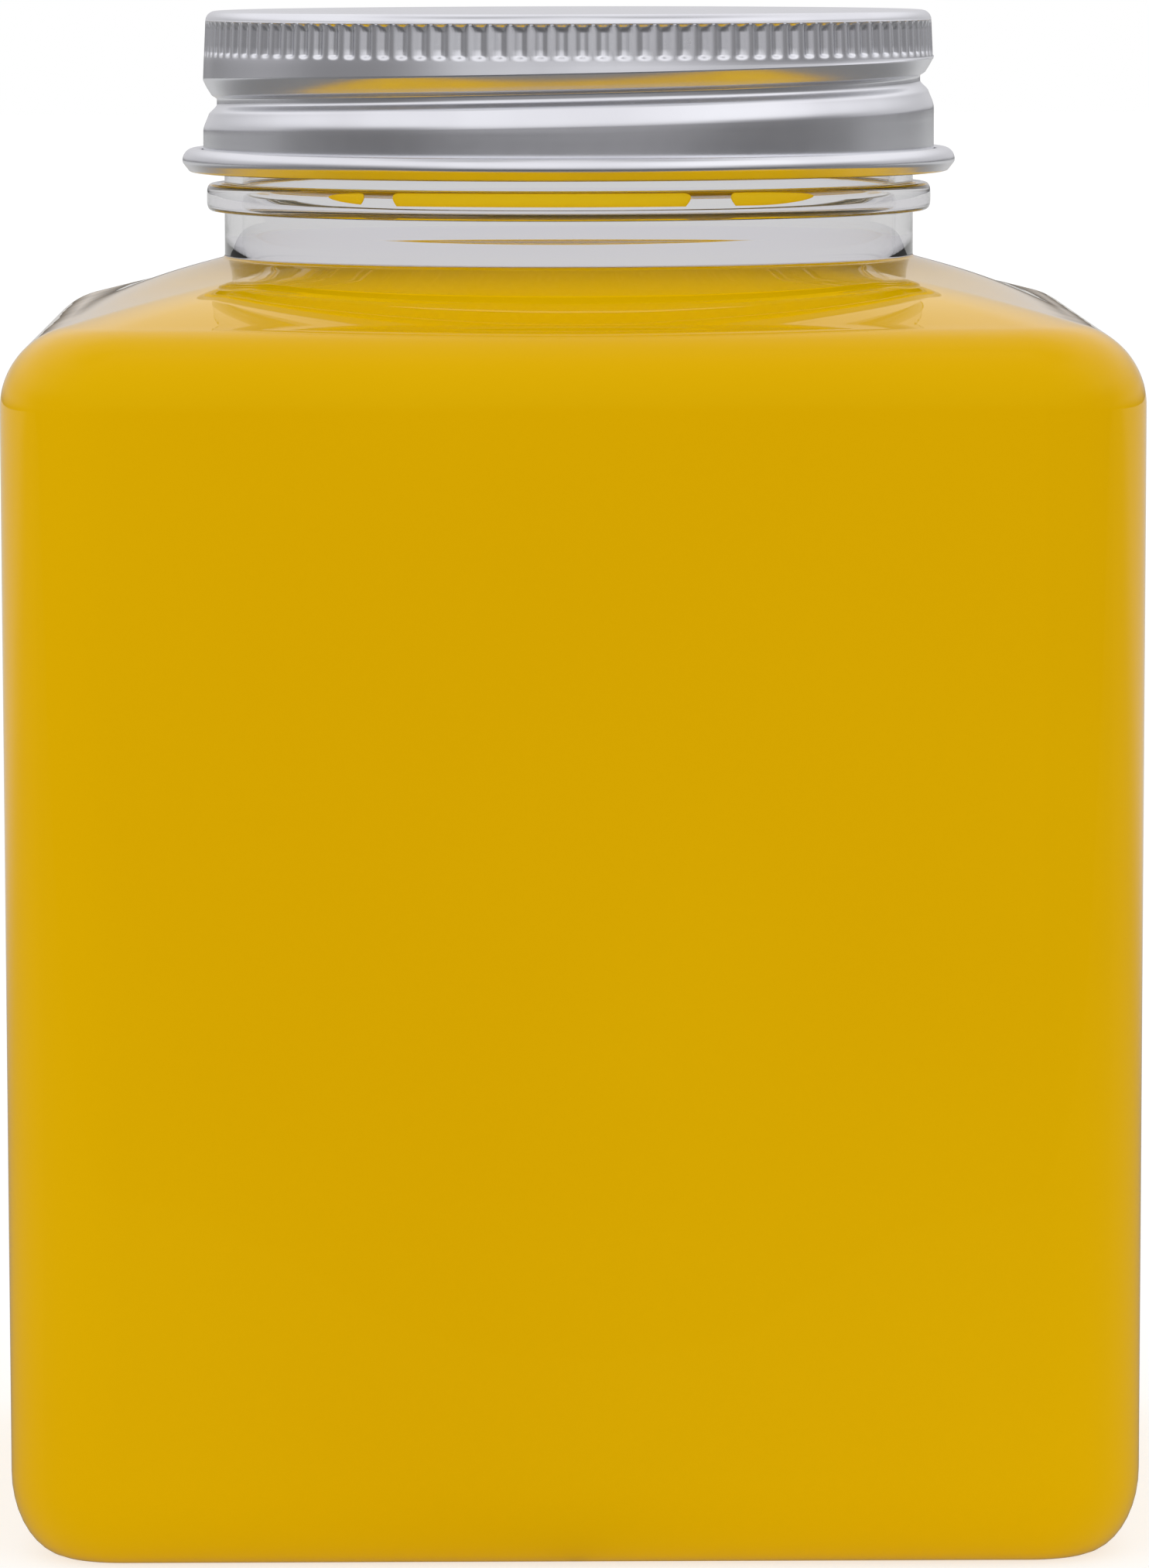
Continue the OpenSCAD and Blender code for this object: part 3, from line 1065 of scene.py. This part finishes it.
@dataclass(frozen=True)
class Studio:
    """Pale floor, plain room light and the camera of the photograph."""

    camera_at: tuple[float, float, float] = (-8.555, -887.617, 145.072)
    pitch: float = 5.198
    yaw: float = 0.58
    roll: float = -0.108
    focal_px: float = 12570.482
    frame_height_px: float = 2026.0
    sensor: float = 36.0
    floor_front_y: float = -0.281
    floor_side: float = 3.0
    floor_colour: tuple[float, float, float, float] = (0.93, 0.93, 0.93, 1.0)
    floor_lift: float = 0.55
    floor_glow: float = 1.14
    floor_in_gloss: float = 0.12
    floor_behind: float = 0.58
    behind_run: tuple[float, float] = (0.15, 0.6)
    floor_through: float = 0.62
    floor_shown: float = 0.85
    floor_in_light: float = 0.6
    back_level: float = 0.66
    back_run: tuple[float, float] = (-0.98, -0.85)
    side_level: float = 0.28
    side_run: tuple[float, float] = (-0.4, 0.1)
    rear_level: float = 0.6
    rear_run: tuple[float, float] = (0.0, 0.1)
    front_level: float = 0.42
    front_run: tuple[float, float] = (0.5, 0.95)
    front_rise: float = 0.85
    rise_run: tuple[float, float] = (0.02, 0.16)
    low_level: float = 0.1
    horizon_run: tuple[float, float] = (-0.03, 0.03)
    ceiling_level: float = 1.0
    ceiling_run: tuple[float, float] = (0.15, 0.5)
    zenith_share: float = 0.3
    zenith_run: tuple[float, float] = (0.8, 0.96)
    through_level: float = 0.66
    window_at: tuple[float, float, float] = (0.70, -0.42, 0.57)
    window_level: float = 0.12
    window_run: tuple[float, float] = (0.8, 0.97)
    cool: tuple[float, float, float, float] = (0.985, 0.975, 1.0, 1.0)
    white: tuple[float, float, float, float] = (1.0, 1.0, 1.0, 1.0)
    seen_from: float = 0.01
    seen_to: float = 50.0

    def camera(self) -> None:
        """Makes the camera at the photograph's place and angle."""
        data = bpy.data.cameras.new("camera")
        data.sensor_width = self.sensor
        data.lens = self.focal_px * self.sensor / self.frame_height_px
        data.clip_start, data.clip_end = self.seen_from, self.seen_to
        made = bpy.data.objects.new("camera", data)
        turns = ((-self.yaw, "Z"), (-self.pitch, "X"), (-self.roll, "Y"), (90.0, "X"))
        matrix = Matrix.Translation(Vector(self.camera_at) * MM)
        for angle, axis in turns:
            matrix = matrix @ Matrix.Rotation(math.radians(angle), 4, axis)
        made.matrix_world = matrix
        bpy.context.scene.collection.objects.link(made)
        bpy.context.scene.camera = made

    def floor(self) -> None:
        """Makes the floor, whose front edge lies a hand's width before the jar."""
        skin = bmesh.new()
        bmesh.ops.create_grid(skin, x_segments=2, y_segments=2, size=self.floor_side)
        shift = Vector((0.0, self.floor_front_y + self.floor_side, 0.0))
        bmesh.ops.translate(skin, verts=skin.verts, vec=shift)
        data = bpy.data.meshes.new("studio_floor")
        skin.to_mesh(data)
        skin.free()
        data.materials.append(self._floor_finish())
        made = bpy.data.objects.new("studio_floor", data)
        bpy.context.scene.collection.objects.link(made)
        made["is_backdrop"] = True

    def _floor_finish(self) -> bpy.types.Material:
        """Returns the floor's finish: pale, white to the camera, with the shadow kept."""
        made, graph = new_material("studio_floor")
        path = graph.node("ShaderNodeLightPath")
        camera = Wire(graph, path.outputs["Is Camera Ray"])
        through = Wire(graph, path.outputs["Is Transmission Ray"])
        gloss = Wire(graph, path.outputs["Is Glossy Ray"]) * (1.0 - through)
        first = 1.0 - Wire(graph, path.outputs["Diffuse Depth"]).over(0.5)
        depth = graph.parts(graph.place())[1]
        mirrored = depth.step(*self.behind_run, self.floor_in_gloss, self.floor_behind)
        share = (camera * self.floor_lift + (gloss + through) * self.floor_shown) * first
        share = share + (1.0 - first) * self.floor_in_light
        strength = (camera * self.floor_glow + gloss * mirrored + through * self.floor_through) * first
        strength = strength + (1.0 - first)
        plain = graph.wire("ShaderNodeBsdfDiffuse", None, {"Color": self.floor_colour})
        glow = graph.wire("ShaderNodeEmission", None, {"Strength": strength})
        graph.surface(graph.wire("ShaderNodeMixShader", None, {0: share, 1: plain, 2: glow}))
        return made

    def room(self) -> None:
        """Makes the world: even light, and the room that gloss and clear walls show."""
        world = bpy.data.worlds.new("studio_room")
        world.use_nodes = True
        bpy.context.scene.world = world
        world.cycles.sampling_method = "NONE"
        graph = Graph(world.node_tree, is_world=True)
        path = graph.node("ShaderNodeLightPath")
        camera = Wire(graph, path.outputs["Is Camera Ray"])
        through = Wire(graph, path.outputs["Is Transmission Ray"])
        lighting = Wire(graph, path.outputs["Diffuse Depth"]).over(0.5)
        direction = graph.wire("ShaderNodeTexCoord", output="Generated")
        x, y, z = graph.parts(direction)
        flat = (x * x + y * y).power(0.5).most(0.001)
        forward = (-y) / flat
        rear = z.step(*self.rear_run, self.side_level, self.rear_level)
        rear = rear + forward.step(*self.back_run, 1.0, 0.0) * (self.back_level - rear)
        sides = rear + forward.step(*self.side_run) * (self.side_level - rear)
        front = z.step(*self.rise_run, self.front_level, self.front_rise)
        level = sides + forward.step(*self.front_run) * (front - self.side_level)
        ceiling = z.step(*self.ceiling_run) * z.step(*self.zenith_run, 1.0, self.zenith_share)
        window = graph.wire("ShaderNodeVectorMath", {"operation": "DOT_PRODUCT"},
                            {0: direction, 1: self.window_at}, output="Value")
        above = level + (self.ceiling_level - level) * ceiling
        above = above + window.step(*self.window_run) * self.window_level
        mirrored = self.low_level + (above - self.low_level) * z.step(*self.horizon_run)
        seen = graph.wire("ShaderNodeMix", {"data_type": "FLOAT"},
                          {0: through, 2: mirrored, 3: self.through_level})
        even = camera.most(lighting)
        strength = graph.wire("ShaderNodeMix", {"data_type": "FLOAT"}, {0: even, 2: seen, 3: 1.0})
        graph.surface(graph.wire(
            "ShaderNodeBackground", None,
            {"Color": graph.colour(even, self.cool, self.white), "Strength": strength}))

    def grade(self) -> None:
        """Leaves the colours as the lights give them."""
        bpy.context.scene.view_settings.view_transform = "Standard"


def save_sizes() -> None:
    """Writes the frame's box and the dressed object's box side by side."""
    boxes = {"cad": [list(corner) for corner in CAD_BOX],
             "visual": [list(corner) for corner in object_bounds()]}
    for name, corners in boxes.items():
        LOG.info("%s box %s", name, corners)


def main() -> None:
    """Builds the studio and the pieces in order."""
    logging.basicConfig(level=logging.INFO, format="%(name)s %(message)s")
    studio = Studio()
    studio.camera()
    jar_low, jar_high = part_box("jar")
    liquid_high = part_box("liquid")[1]
    lid_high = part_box("lid")[1]
    wad_low, wad_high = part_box("lid_liner")
    helix = Helix(start_z=lid_high.z / MM - GROOVE_BELOW_TOP)
    jar = Jar(helix, half=(jar_high.x - jar_low.x) / 2 / MM, rim_z=jar_high.z / MM,
              level_z=liquid_high.z / MM)
    jar.build_shell(ClearPlastic().build())
    jar.build_liquid(YellowLiquid())
    jar.build_trace(YellowLiquid())
    Lid(helix, top_z=lid_high.z / MM).build(RolledAluminium().build())
    Wad(wad_low.z / MM, wad_high.z / MM, wad_high.x / MM).build(SealFoam().build())
    studio.floor()
    studio.room()
    studio.grade()
    save_sizes()


if __name__ == "__main__":
    main()
